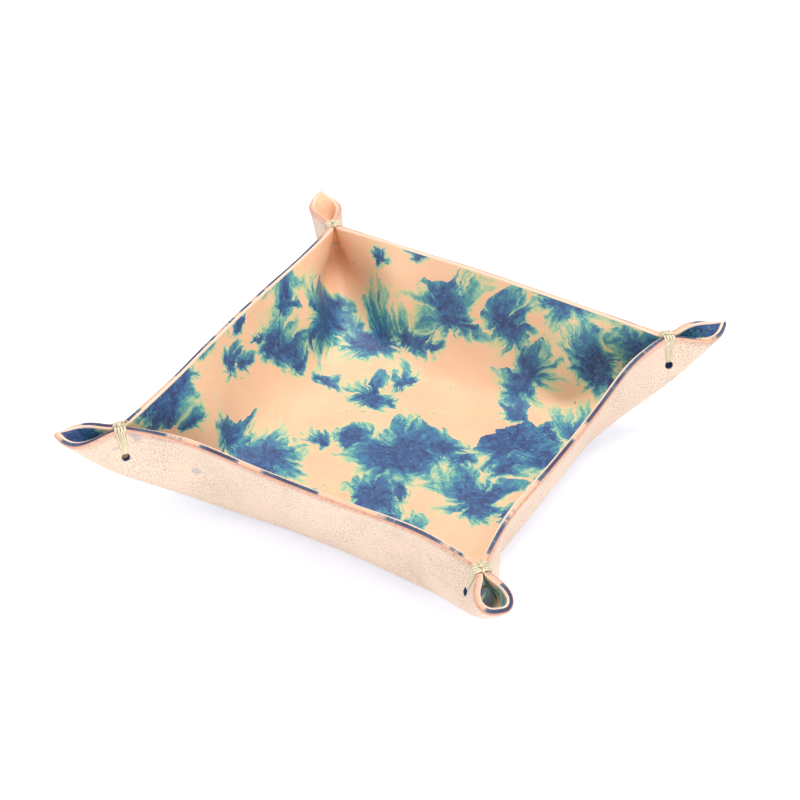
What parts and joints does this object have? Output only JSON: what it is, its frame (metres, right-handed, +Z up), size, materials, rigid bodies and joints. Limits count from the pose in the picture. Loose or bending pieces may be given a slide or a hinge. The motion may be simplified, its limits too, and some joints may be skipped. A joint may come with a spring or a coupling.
{
  "type": "laced leather dice tray",
  "caption": "Square leather tray: a single sheet whose corners are pinched up and laced with thread, for rolling dice or holding small items.",
  "frame": {"origin": "centre of the tray's outline, on the surface that it stands on", "axes": "+Z up out of the tray, +X and +Y square to two neighbouring walls"},
  "size_m": [0.2102, 0.2102, 0.0526],
  "materials": {
    "leather": "vegetable-tanned, ink-marbled grain with a slight satin sheen, suede flesh side",
    "thread": "waxed flat thread"
  },
  "bodies": {
    "root": {"leather_tray": "leather", "tie_back": "thread", "tie_left": "thread", "tie_front": "thread", "tie_right": "thread"}
  },
  "joints": []
}
